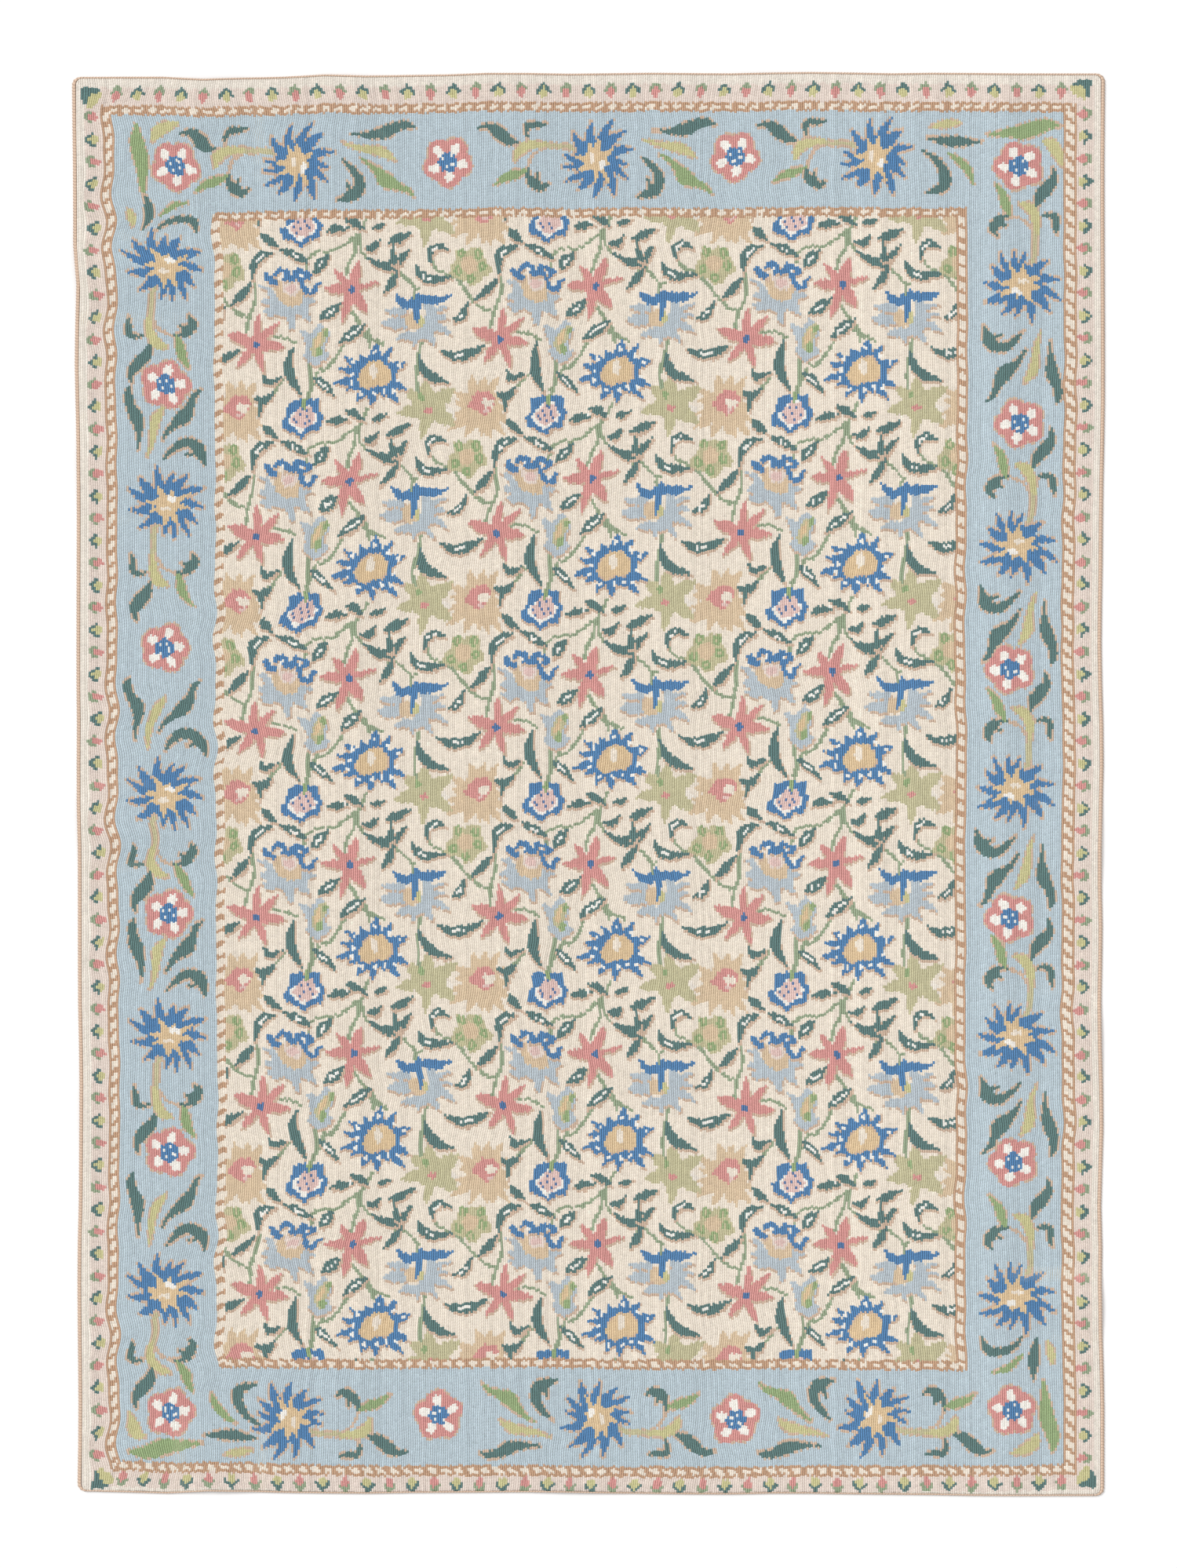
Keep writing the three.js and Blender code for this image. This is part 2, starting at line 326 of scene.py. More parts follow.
class Chart:
    """The wool of each stitch, by its number in the list of yarns."""

    def __init__(self, x, y, yarns, ground):
        self.x, self.y = x, y
        self.yarns = yarns
        self.wool = np.full(x.shape, yarns.index(ground), np.uint8)
        self.open = np.ones(x.shape, bool)
        bottom = CHART_LENGTH - y
        bottom = bottom + sag(x) * np.clip(1 - bottom / SAG_REACH, 0, 1)
        self.margins = {"left": x, "right": CHART_WIDTH - x, "top": y, "bottom": bottom}

    def inside(self, band):
        return np.all([self.margins[side] > BANDS[band][side] for side in self.margins], axis=0)

    def fill(self, where, yarn):
        self.wool[where & self.open] = self.yarns.index(yarn)

    def work(self, motif, at=(0, 0), turn=0, box=(-80, -80, 80, 80), repeat=False):
        """Works a motif's layers, drawn in its own x and y, at a place on the chart and turned clockwise."""
        dx, dy = self.x - at[0], self.y - at[1]
        if repeat:
            dx = (dx - box[0]) % REPEAT[0] + box[0]
            dy = (dy - box[1]) % REPEAT[1] + box[1]
        c, s = round(cos(radians(turn)), 9), round(sin(radians(turn)), 9)
        mx, my = dx * c + dy * s, dy * c - dx * s
        near = (mx > box[0]) & (mx < box[2]) & (my > box[1]) & (my < box[3]) & self.open
        mx, my = mx[near], my[near]
        wool = self.wool[near]
        for yarn, gap in motif(mx, my):
            wool[gap < 0] = self.yarns.index(yarn)
        self.wool[near] = wool


def outlined(yarn, gap):
    return ("peach", gap - LINE), (yarn, gap)


def edged(yarn, x, y, shape, *parts):
    """A shape with a peach edge that shows only below it."""
    yield "peach", shape(x - 1, y - 3.5, *parts) - 1
    yield yarn, shape(x, y, *parts)


def spots(yarn, x, y, places, half):
    for place in places:
        yield yarn, oval(x, y, place, half)


def overlaid(x, y, ribbons):
    return np.minimum.reduce([ribbon(x, y, path) for path in ribbons])


def star_on_oval(x, y, middle, tips, half, oval_middle=None):
    return np.minimum(star(x, y, middle, tips), oval(x, y, oval_middle or middle, half))


# The field's repeat, with a corner of it at 0, 0. Each stem, leaf and fleck is a path of x, y and width.

FIELD_STEMS = [
    [(154, -8, 6), (142, 22, 6), (136, 40, 6)],
    [(95, 2, 6), (78, 24, 6), (62, 35, 5)],
    [
        (241, 53, 5), (228, 81, 6), (212, 93, 6), (192, 108, 5),
        (175, 114, 5), (156, 114, 5), (137, 125, 5), (134, 143, 5),
    ],
    [(221, 87, 8), (219, 114, 6), (208, 133, 6), (203, 153, 6)],
    [(226, 86, 6), (229, 110, 5), (242, 128, 5)],
    [(273, 137, 6), (290, 148, 6), (307, 162, 5), (321, 177, 5)],
    [(283, 143, 4), (280, 159, 4)],
    [
        (350, 130, 5), (356, 145, 5), (376, 155, 5), (390, 163, 6),
        (404, 180, 6), (420, 199, 6), (440, 216, 6), (454, 220, 5),
    ],
    [(44, 153, 5), (45, 194, 6), (36, 222, 6), (30, 252, 6)],
    [(73, 257, 5), (98, 258, 5), (119, 269, 5)],
    [(142, 303, 6), (142, 343, 6), (137, 355, 6)],
    [(151, 308, 5), (166, 316, 6), (185, 298, 6), (202, 270, 5)],
    [(211, 213, 6), (226, 237, 7), (240, 258, 9), (270, 272, 5)],
    [(239, 248, 7), (245, 274, 5)],
    [(334, 268, 6), (330, 297, 6), (326, 328, 6), (329, 368, 6)],
    [(62, 36, 4), (60, 60, 4)],
]

FIELD_LEAVES = [
    [(170, 79, 2), (188, 74, 14), (210, 72, 3)],
    [(203, 58, 3), (218, 62, 14), (237, 75, 3)],
    [(249, 71, 2), (260, 70, 11), (274, 64, 2)],
    [(275, 99, 2), (294, 92, 16), (318, 81, 3)],
    [(235, 105, 3), (249, 106, 13), (262, 93, 2)],
    [(238, 122, 2), (262, 136, 14), (285, 136, 18), (313, 110, 3)],
    [(285, 131, 14), (284, 117, 8), (284, 103, 2)],
    [(347, 133, 4), (349, 115, 11), (363, 106, 12), (381, 113, 3)],
    [(60, 78, 3), (70, 89, 15), (86, 102, 3)],
    [(91, 107, 3), (114, 117, 15), (138, 131, 3)],
    [(41, 157, 3), (45, 130, 15), (58, 116, 15), (78, 111, 3)],
    [(147, 149, 3), (159, 135, 19), (174, 119, 3)],
    [(4, 200, 3), (22, 183, 15), (39, 164, 3)],
    [(321, 138, 3), (329, 154, 14), (349, 162, 15), (383, 159, 3)],
    [(266, 184, 3), (280, 166, 14), (291, 146, 3)],
    [(386, 234, 3), (403, 226, 14), (414, 204, 3)],
    [(156, 228, 3), (174, 217, 19), (193, 202, 3)],
    [(193, 269, 3), (214, 252, 19), (236, 236, 3)],
    [(113, 274, 3), (106, 300, 15), (108, 325, 17), (125, 356, 3)],
    [(59, 320, 3), (69, 334, 12), (91, 326, 3)],
    [(146, 326, 3), (162, 339, 15), (183, 360, 3)],
    [(331, 291, 3), (339, 315, 15), (357, 331, 16), (386, 339, 3)],
    [(366, 284, 3), (390, 294, 15), (416, 291, 16), (443, 278, 3)],
    [(46, 33, 6), (59, 38, 14), (68, 34, 12), (78, 25, 3)],
    [(58, 42, 10), (57, 54, 6), (55, 64, 2)],
]

# White flecks on the leaves
FIELD_FLECKS = [
    [(203, 70, 4)],
    [(351, 115, 4), (363, 107, 4)],
    [(111, 117, 4), (120, 122, 4)],
    [(50, 126, 4), (60, 117, 4)],
    [(156, 139, 4), (163, 131, 4)],
    [(335, 158, 4), (346, 162, 4)],
    [(398, 229, 4), (406, 222, 4)],
    [(168, 220, 4), (175, 217, 4), (182, 212, 4)],
    [(205, 260, 4), (212, 254, 4), (219, 249, 4), (226, 243, 4)],
    [(156, 335, 4), (163, 341, 4), (170, 347, 4)],
    [(394, 294, 4), (402, 293, 4), (411, 292, 4)],
]


def blue_ring_flower(x, y):
    rim = [
        (-26, -28), (-4, -34), (2, -24), (8, -32), (28, -32), (28, -14), (36, -4),
        (27, 22), (12, 22), (-3, 35), (-18, 24), (-35, 18), (-37, 2), (-28, -4),
    ]
    lining = [
        (-9, -14), (-3, -22), (14, -21), (19, -9), (26, -4), (23, 9), (5, 18), (-4, 26), (-24, 8), (-26, 0),
    ]
    heart = [(-9, -14), (-2, -21), (14, -20), (19, -7), (22, 4), (4, 17), (-10, 16), (-21, 2)]
    specks = [(-5, -9), (9, -3), (-11, 8), (3, 9), (1, -17), (-15, 1), (13, 4), (6, -12), (-2, 1)]
    yield from edged("blue", x, y, patch, rim)
    yield "white", patch(x, y, lining)
    yield "pink", patch(x, y, heart)
    yield from spots("navy", x, y, specks, (2.0, 2.8))
    yield "leaf_green", oval(x, y, (3, -26), (4, 10))


def olive_star(x, y):
    tips = [(-12, -43, 22), (41, -26, 23), (38, 36, 22), (-14, 58, 17), (-61, 15, 21), (-47, -26, 21)]
    yield "olive", star_on_oval(x, y, (-7, 4), tips, (29, 27))
    yield "coral", oval(x, y, (-10, 10), (8, 5))
    yield "leaf_green", oval(x, y, (-20, -12), (5, 7))


def tan_flower(x, y):
    yield "oyster", patch(x, y, [(-64, 8), (-54, -3), (-44, 6), (-46, 22), (-54, 30), (-62, 24)])
    tips = [
        (-10, -50, 20), (14, -50, 20), (38, -48, 18), (44, -22, 16), (47, 4, 18), (50, 28, 18), (46, 52, 16),
        (22, 54, 20), (8, 50, 18), (-20, 53, 17), (-50, 38, 20), (-48, 14, 14), (-42, -8, 16), (-42, -27, 17),
    ]
    yield "tan", star_on_oval(x, y, (4, 2), tips, (33, 33))
    heart = [(-21, 0), (-8, -17), (2, -25), (20, -24), (30, -12), (24, 4), (16, 12), (7, 18), (-5, 9)]
    yield "coral", patch(x, y, heart)
    yield "cream", patch(x, y, [(3, -7), (10, -13), (28, -8), (22, 3), (10, 4)])
    yield "pink", oval(x, y, (11, 9), (6, 3))


def olive_rosette(x, y):
    rim = [
        (-26, -32), (-8, -28), (2, -33), (20, -31), (22, -14), (32, 4), (30, 13),
        (16, 16), (8, 29), (-6, 34), (-14, 24), (-28, 19), (-43, 14), (-38, -4), (-28, -12),
    ]
    yield "olive", patch(x, y, rim)
    rings = [(-18, -24), (12, -22), (16, 0), (-27, 6), (-6, 20)]
    yield from spots("leaf_green", x, y, rings, (7.5, 8.5))
    yield from spots("olive", x, y, rings, (2.4, 4.4))
    yield "tan", oval(x, y, (-6, -4), (14, 15))


def curled_flower(x, y):
    petal_rim = [
        (-55, -30), (-36, -29), (-24, -12), (22, -10), (34, -9), (46, -1), (32, 4), (30, 12), (37, 34),
        (24, 28), (12, 20), (8, 30), (8, 45), (0, 47), (-6, 28), (-20, 20), (-35, 25), (-49, 12),
        (-36, 6), (-51, 0), (-48, -7), (-38, -9), (-42, -20),
    ]
    yield from edged("sky", x, y, patch, petal_rim)
    yield "tan", patch(x, y, [(-30, -30), (-19, -37), (16, -37), (21, -14), (19, 5), (0, 8), (-20, -2)])
    yield "shell", patch(x, y, [(-15, -37), (16, -38), (18, -24), (9, -11), (-7, -12), (-14, -22)])
    yield "pink", oval(x, y, (0, -23), (10, 7))
    curls = [
        [(-40, -47, 10), (-35, -40, 12), (-26, -35, 11)],
        [(-26, -48, 6), (-18, -55, 10), (-6, -50, 11), (-8, -41, 9)],
        [(-6, -42, 9), (6, -43, 12), (12, -52, 10), (22, -50, 8), (33, -44, 9), (24, -38, 7)],
        [(14, -42, 7), (20, -30, 8), (26, -18, 9), (38, -15, 9), (43, -27, 7), (51, -31, 3)],
    ]
    for curl in curls:
        yield from edged("blue", x, y, ribbon, curl)
    yield from spots("white", x, y, [(-12, -47), (19, -44), (34, -21)], (2.6, 3.0))


def coral_star(x, y, middle, heart, tips):
    yield from edged("coral", x, y, star, middle, tips)
    yield "navy", oval(x, y, heart, (6, 6.5))


NARROW_STAR = partial(
    coral_star,
    middle=(0, 1),
    heart=(2, 1),
    tips=[(15, -46, 17), (-27, -33, 13), (-47, 0, 16), (-16, 56, 15), (27, 38, 19), (47, -12, 9)],
)
WIDE_STAR = partial(
    coral_star,
    middle=(-1, 0),
    heart=(-1, 0),
    tips=[(3, -53, 13), (37, -37, 13), (49, 4, 17), (14, 45, 13), (-31, 36, 13), (-49, -19, 19)],
)


def fan_flower(x, y):
    rays = [
        [(-56, -20, 3), (-42, -18, 12), (-24, -18, 14)],
        [(-60, 2, 4), (-42, 2, 20), (-20, 2, 18)],
        [(-34, 28, 4), (-18, 24, 15), (2, 24, 15)],
        [(20, -28, 14), (24, -8, 20), (16, 14, 25), (2, 24, 17)],
        [(24, -14, 10), (40, -20, 8), (54, -24, 3)],
        [(28, -4, 12), (44, -6, 8), (54, -4, 3)],
        [(22, 8, 16), (42, 13, 12), (58, 24, 3)],
        [(14, 20, 16), (26, 32, 9), (32, 41, 3)],
        [(-4, 24, 12), (-3, 42, 4)],
    ]
    yield from edged("sky", x, y, overlaid, rays)
    yield "tan", oval(x, y, (-7, 0), (16, 15))
    yield "yellow", oval(x, y, (6, 0), (5, 10))
    yield "blue", ribbon(x, y, [(-39, -47, 3), (-26, -33, 14), (-14, -30, 15), (-4, -36, 12)])
    yield "blue", ribbon(x, y, [(2, -48, 4), (8, -38, 14), (30, -36, 17), (46, -38, 9), (58, -43, 3)])
    yield "blue", ribbon(x, y, [(2, -40, 13), (0, -16, 11), (-3, 5, 3)])
    yield "stem_green", ribbon(x, y, [(4, -60, 4), (-4, -54, 5), (-5, -40, 3)])


def bud_flower(x, y):
    rim = [
        (-28, -28), (-18, -27), (-8, -20), (0, -30), (8, -39), (17, -29), (23, -22), (22, -8),
        (16, 0), (18, 12), (26, 15), (20, 25), (10, 31), (1, 36), (-10, 29), (-20, 18), (-14, 8), (-19, -8),
    ]
    yield from edged("sky", x, y, patch, rim)
    yield "olive", ribbon(x, y, [(20, -27, 3), (10, -15, 18), (1, 6, 17), (3, 20, 4)])
    yield "leaf_green", oval(x, y, (17, -20), (5, 7), 20)
    yield "leaf_green", oval(x, y, (7, 12), (6, 9), 12)
    yield "gold", ribbon(x, y, [(9, -21, 3), (3, -4, 10), (-1, 6, 4)])


def blue_rimmed_flower(x, y):
    tips = [
        (6, -51, 21), (33, -42, 15), (58, -17, 19), (57, 28, 16), (43, 49, 15), (18, 38, 15), (-3, 54, 17),
        (-29, 46, 17), (-47, 28, 14), (-68, 18, 15), (-58, -8, 15), (-48, -27, 14), (-22, -34, 17),
    ]
    eyes = [
        (3, -36), (46, -12), (-34, -18), (-38, 2), (-40, 17), (-22, 34), (2, 34), (18, 30), (34, 30),
        (42, 12), (28, -24),
    ]
    heart = [
        (-28, 10), (-19, -8), (-5, -20), (15, -21), (29, -5), (29, 12), (19, 21), (4, 20), (-13, 27),
        (-23, 21),
    ]
    yield from edged("blue", x, y, star_on_oval, (0, 3), tips, (40, 32), (0, 4))
    yield from spots("white", x, y, eyes, (3.6, 3.8))
    yield "peach", patch(x, y, heart) - 1.5
    yield "gold", patch(x, y, heart)
    yield "cream", oval(x, y, (0, -4), (7, 13))


FIELD_FLOWERS = table("flower x y", [
    (tan_flower, 433, 54),
    (olive_rosette, 420, 144),
    (olive_star, 353, 49),
    (blue_ring_flower, 130, 70),
    (curled_flower, 106, 198),
    (NARROW_STAR, 210, 177),
    (fan_flower, 325, 234),
    (WIDE_STAR, 49, 269),
    (bud_flower, 151, 273),
    (blue_rimmed_flower, 251, 321),
])

# How far the field's repeats stray from even spacing, at three distances across the cloth and some down it
STRAY_FROM_LEFT = (450, 870, 1290)
STRAYS = table("y across down", [
    (330, (6, 5, 4), (-5, -9, -10)),
    (730, (2, -4, -2), (-1, -3, -4)),
    (1060, (0, -8, -8), (11, 7, 3)),
    (1385, (1, -5, -2), (5, 6, 5)),
    (1710, (8, 4, -4), (3, 6, 6)),
    (1950, (8, 5, 3), (8, 8, 8)),
    (2130, (7, 8, 5), (0, 2, 0)),
])


def stray(x, y, way):
    """How far the repeat strays at a place on the chart."""
    heights = [row["y"] for row in STRAYS]
    left, middle, right = (np.interp(y, heights, [row[way][i] for row in STRAYS]) for i in range(3))
    a, b, c = STRAY_FROM_LEFT
    near = lerp(left, middle, np.clip((x - a) / (b - a), 0, 1))
    return lerp(near, right, np.clip((x - b) / (c - b), 0, 1))


def reach_of(path, margin=8):
    """The box that a path keeps within."""
    points = np.array(path)
    room = points[:, 2].max() / 2 + margin
    return (*(points[:, :2].min(0) - room), *(points[:, :2].max(0) + room))


def field_leaf(x, y, path):
    yield "peach", ribbon(x - 1.5, y - 4.2, path) - 1
    yield "dark_green", ribbon(x, y, path)


def field_stem(x, y, path):
    yield "stem_green", ribbon(x, y, path)


def field_fleck(x, y, path):
    """One or two stitches, and then a thin line where there is a path to follow."""
    yield "white", oval(x, y, path[0], (2.4, 3.4))
    if len(path) > 1:
        yield "white", ribbon(x, y, path)


def work_paths(chart, motif, paths):
    for path in paths:
        chart.work(partial(motif, path=path), REPEAT_START, box=reach_of(path), repeat=True)


def work_field(chart):
    x, y = chart.x, chart.y
    chart.x, chart.y = x - stray(x, y, "across"), y - stray(x, y, "down")
    work_paths(chart, field_stem, FIELD_STEMS)
    for row in FIELD_FLOWERS:
        at = (REPEAT_START[0] + row["x"], REPEAT_START[1] + row["y"])
        chart.work(row["flower"], at, box=(-90, -75, 90, 75), repeat=True)
    work_paths(chart, field_leaf, FIELD_LEAVES)
    work_paths(chart, field_fleck, FIELD_FLECKS)


# The border. Its motifs run clockwise round the cloth, with +x the way round and +y inwards.

SPRAY = table("yarn path", [
    ("peach", [(-94, -20, 1), (-112, -8, 1), (-121, 12, 1)]),
    ("olive", [(-40, -19, 7), (-54, -24, 8), (-76, -24, 8), (-100, -26, 9)]),
    ("yellow", [(-92, -27, 8), (-120, -24, 15), (-136, -14, 16), (-142, 2, 4)]),
    ("dark_green", [(-121, 14, 3), (-119, 30, 9), (-111, 39, 18), (-98, 48, 13), (-86, 41, 4)]),
    ("dark_green", [(-108, 40, 8), (-104, 24, 3)]),
    ("dark_green", [(-89, -62, 3), (-104, -60, 10), (-118, -60, 11), (-123, -50, 8), (-121, -37, 3)]),
    ("leaf_green", [(-121, 18, 3), (-140, 25, 15), (-158, 31, 13), (-177, 44, 2)]),
    ("dark_green", [(-204, -55, 4), (-186, -57, 12), (-171, -47, 21), (-156, -34, 18), (-136, -27, 3)]),
    ("dark_green", [(92, -50, 2), (116, -49, 8), (137, -50, 18), (152, -54, 22)]),
    ("dark_green", [(152, -54, 22), (168, -62, 16), (186, -65, 13), (200, -61, 3)]),
    ("yellow", [(78, -34, 2), (102, -27, 8), (126, -23, 13), (146, -18, 16), (166, -5, 3)]),
    ("dark_green", [(76, -5, 2), (90, 8, 9), (103, 25, 15), (104, 42, 18), (93, 55, 20), (68, 64, 4)]),
    ("dark_green", [(88, 52, 8), (84, 33, 3)]),
])
SLANTED_LEAF = [
    (108, -8, 3), (125, 3, 8), (139, 17, 16), (151, 31, 25), (168, 40, 14), (186, 47, 9), (197, 59, 2),
]

# The part of the spray after the last star flower before a corner
CORNER_SPRAY = table("yarn path", [
    ("dark_green", [(2, -12, 2), (26, 4, 11), (40, 28, 18), (36, 50, 18), (8, 60, 4)]),
    ("dark_green", [(10, -34, 3), (36, -30, 14), (62, -28, 18), (84, -28, 10), (104, -28, 2)]),
    ("leaf_green", [(47, -8, 3), (66, 6, 11), (80, 22, 13), (88, 44, 2)]),
    ("yellow", [(16, -54, 3), (40, -58, 14), (56, -60, 10), (68, -61, 2)]),
])

CORNER_LEAVES = table("yarn path", [
    ("leaf_green", [
        (-69, -72, 2), (-71, -50, 17), (-68, -36, 23), (-59, -9, 25), (-57, 13, 17), (-54, 55, 2),
    ]),
    ("yellow", [(0, -74, 3), (-20, -67, 17), (-36, -57, 19), (-43, -42, 4)]),
])


def leaves(x, y, rows, squeeze=1.0):
    """Outlined leaves, with their length along the border squeezed."""
    gaps = [ribbon(x / squeeze, y, row["path"]) for row in rows]
    yield "peach", np.minimum.reduce(gaps) - LINE
    for row, gap in zip(rows, gaps):
        yield row["yarn"], gap


def star_flower(x, y):
    tips = [
        (-12, -66, 14), (24, -68, 14), (44, -49, 18), (62, -18, 15), (51, 10, 13), (48, 33, 15), (27, 62, 17),
        (-6, 63, 15), (-34, 50, 18), (-57, 36, 12), (-61, 11, 11), (-57, -8, 12), (-43, -47, 16),
    ]
    yield from outlined("blue", np.minimum(star(x, y, (-3, -1), tips, -7), oval(x, y, (-3, -1), (36, 36))))
    heart = [
        (-16, -31, 10), (2, -35, 11), (26, -18, 12), (20, 8, 12), (17, 39, 9), (-6, 37, 10), (-35, 19, 11),
        (-38, -4, 12),
    ]
    yield "gold", star_on_oval(x, y, (-4, 0), heart, (20, 20))
    yield "white", oval(x, y, (8, 8), (5, 10), 20)
    yield "cream", oval(x, y, (-10, -3), (4, 10))


def rosette(x, y):
    yield from outlined("coral", petals(x, y, (44, 43), 5, 0.76, 84, 0.5, 0.03))
    for i in range(5):
        turn = 84 + 72 * i
        yield "white", oval(x, y, (25 * cos(radians(turn)), 25 * sin(radians(turn))), (10, 8), turn)
    yield "blue", petals(x, y, (18, 18), 6, 0.84)
    yield from spots("white", x, y, [(-8, -6), (5, -9), (8, 3), (-3, 8)], (2.8, 2.6))


# Middles of the border's flowers on the chart
BORDER_FLOWERS = table("side turn slanted_leaf stars rosettes", [
    ("top", 0, "leaf_green",
     [(380, 148), (894, 146), (1372, 143)],
     [(171, 150), (637, 148), (1128, 140)]),
    ("right", 90, "dark_green",
     [(1618, 363), (1614, 811), (1609, 1230), (1613, 1655), (1613, 2101)],
     [(1615, 156), (1616, 598), (1603, 1020), (1602, 1448), (1608, 1867)]),
    ("bottom", 180, "leaf_green",
     [(1365, 2308), (886, 2311), (355, 2314)],
     [(1603, 2294), (1125, 2312), (615, 2307)]),
    ("left", 270, "dark_green",
     [(148, 2090), (151, 1650), (148, 1234), (150, 732), (148, 322)],
     [(153, 2301), (150, 1852), (150, 1441), (148, 982), (150, 528)]),
])

# How far round from the last star flower of each side its corner spray starts, and how much that is squeezed
CORNER_ROOM = {
    "top": {"start": 76, "squeeze": 1.0},
    "right": {"start": 62, "squeeze": 0.75},
    "bottom": {"start": 46, "squeeze": 0.95},
    "left": {"start": 56, "squeeze": 0.62},
}


def work_border(chart):
    for row in BORDER_FLOWERS:
        turn = row["turn"]
        room = CORNER_ROOM[row["side"]]
        corner_leaves = partial(leaves, rows=CORNER_LEAVES)
        chart.work(corner_leaves, row["rosettes"][0], turn, box=(-95, -90, 30, 75))
        spray = partial(leaves, rows=[*SPRAY, {"yarn": row["slanted_leaf"], "path": SLANTED_LEAF}])
        for place in row["stars"]:
            last = place == row["stars"][-1]
            chart.work(spray, place, turn, box=(-225, -85, 0 if last else 210, 95))
        way = radians(turn)
        corner = (place[0] + room["start"] * cos(way), place[1] + room["start"] * sin(way))
        corner_spray = partial(leaves, rows=CORNER_SPRAY, squeeze=room["squeeze"])
        chart.work(corner_spray, corner, turn, box=(-12, -85, 115, 85))
    for row in BORDER_FLOWERS:
        for place in row["rosettes"]:
            chart.work(rosette, place, row["turn"])
        for place in row["stars"]:
            chart.work(star_flower, place, row["turn"])


# The guards and ropes

BUD_PITCH = 38.6
BUD_INSET = {"left": 29, "right": 29, "top": 28, "bottom": 24}
ROPE_PITCH = 22.4
ROPE_LINE = {"sides": 3.2, "ends": 4.3}


def red_bud(x, y):
    yield "stem_green", patch(x, y, [(-11, -1), (-7, -11), (0, -16), (7, -11), (11, -1), (0, 2)])
    yield "coral", patch(x, y, [(-6, -4), (0, -7), (6, -4), (7, 4), (2, 12), (-2, 12), (-7, 4)])


def yellow_bud(x, y):
    yield "yellow", patch(x, y, [(-8, 2), (0, -11), (8, 2), (5, 10), (-5, 10)])
    cup = [(0, -16), (13, -2), (11, 4), (5, -2), (0, -9), (-5, -2), (-11, 4), (-13, -2)]
    yield "dark_green", patch(x, y, cup)


def corner_bud(x, y):
    yield "yellow", patch(x, y, [(9, -7), (15, 0), (6, 15), (-3, 26), (-10, 22), (-10, 5), (-4, -3)])
    cup = [(-21, -13), (9, -11), (10, -5), (-5, 0), (-10, 7), (-10, 20), (-17, 15), (-21, 6)]
    yield "dark_green", patch(x, y, cup)


def work_guards(chart):
    left, right = BUD_INSET["left"], CHART_WIDTH - BUD_INSET["right"]
    top, bottom = BUD_INSET["top"], CHART_LENGTH - BUD_INSET["bottom"]
    corners = np.array([(left, top), (right, top), (right, bottom), (left, bottom)], float)
    for i, start in enumerate(corners):
        end = corners[(i + 1) % 4]
        count = round(np.abs(end - start).sum() / BUD_PITCH)
        for j in range(1, count):
            bud = red_bud if j % 2 else yellow_bud
            x, y = lerp(start, end, j / count)
            drop = sag(x) if i == 2 else 0
            chart.work(bud, (x, y + drop), 90 * i, box=(-18, -18, 18, 18))
        chart.work(corner_bud, start, 90 * i, box=(-24, -24, 24, 24))


def work_rope(chart, outer, inner, slant, white):
    """A rope stripe: tan along both edges, and slanting blocks of white between."""
    sides = list(chart.margins)
    within = np.array([chart.margins[side] - BANDS[outer][side] for side in sides])
    nearest = within.argmin(0)
    depth = within.min(0)
    width = np.array([BANDS[inner][side] - BANDS[outer][side] for side in sides])[nearest]
    along = np.where(nearest < 2, chart.y, chart.x)
    block = ((along + slant * depth) / ROPE_PITCH) % 1 < white
    line = np.where(nearest < 2, ROPE_LINE["sides"], ROPE_LINE["ends"])
    middle = (depth > line) & (depth < width - line)
    chart.fill(chart.inside(outer), "rope")
    chart.fill(chart.inside(outer) & middle & block, "cream")


def work_chart(x, y, yarns):
    """The wool of every stitch whose middle is at x and y."""
    chart = Chart(x, y, yarns, "oyster")
    chart.fill(chart.inside("guard"), "shell")
    work_guards(chart)
    work_rope(chart, "outer_rope", "border", 0.8, 0.6)
    chart.fill(chart.inside("border"), "pale_blue")
    work_border(chart)
    work_rope(chart, "inner_rope", "field", 0.4, 0.62)
    chart.open = chart.inside("field")
    chart.fill(chart.open, "cream")
    work_field(chart)
    return chart.wool


# Materials


def maths_method(operation, swapped=False):
    def method(self, *others):
        return self.maths(operation, *((*others, self) if swapped else (self, *others)))

    return method


class Wire:
    """An output of one of a finish's nodes. Arithmetic on it adds Math nodes, so maths reads as Python."""

    def __init__(self, finish, node, output=0):
        self.finish, self.node, self.socket = finish, node, node.outputs[output]

    def output(self, name):
        return Wire(self.finish, self.node, name)

    def maths(self, operation, *values):
        return self.finish.node("ShaderNodeMath", {"operation": operation}, dict(enumerate(values)))

    __add__ = __radd__ = maths_method("ADD")
    __sub__ = maths_method("SUBTRACT")
    __rsub__ = maths_method("SUBTRACT", swapped=True)
    __mul__ = __rmul__ = maths_method("MULTIPLY")
    __truediv__ = maths_method("DIVIDE")
    __pow__ = maths_method("POWER")
    __mod__ = maths_method("FLOORED_MODULO")
    __abs__ = maths_method("ABSOLUTE")


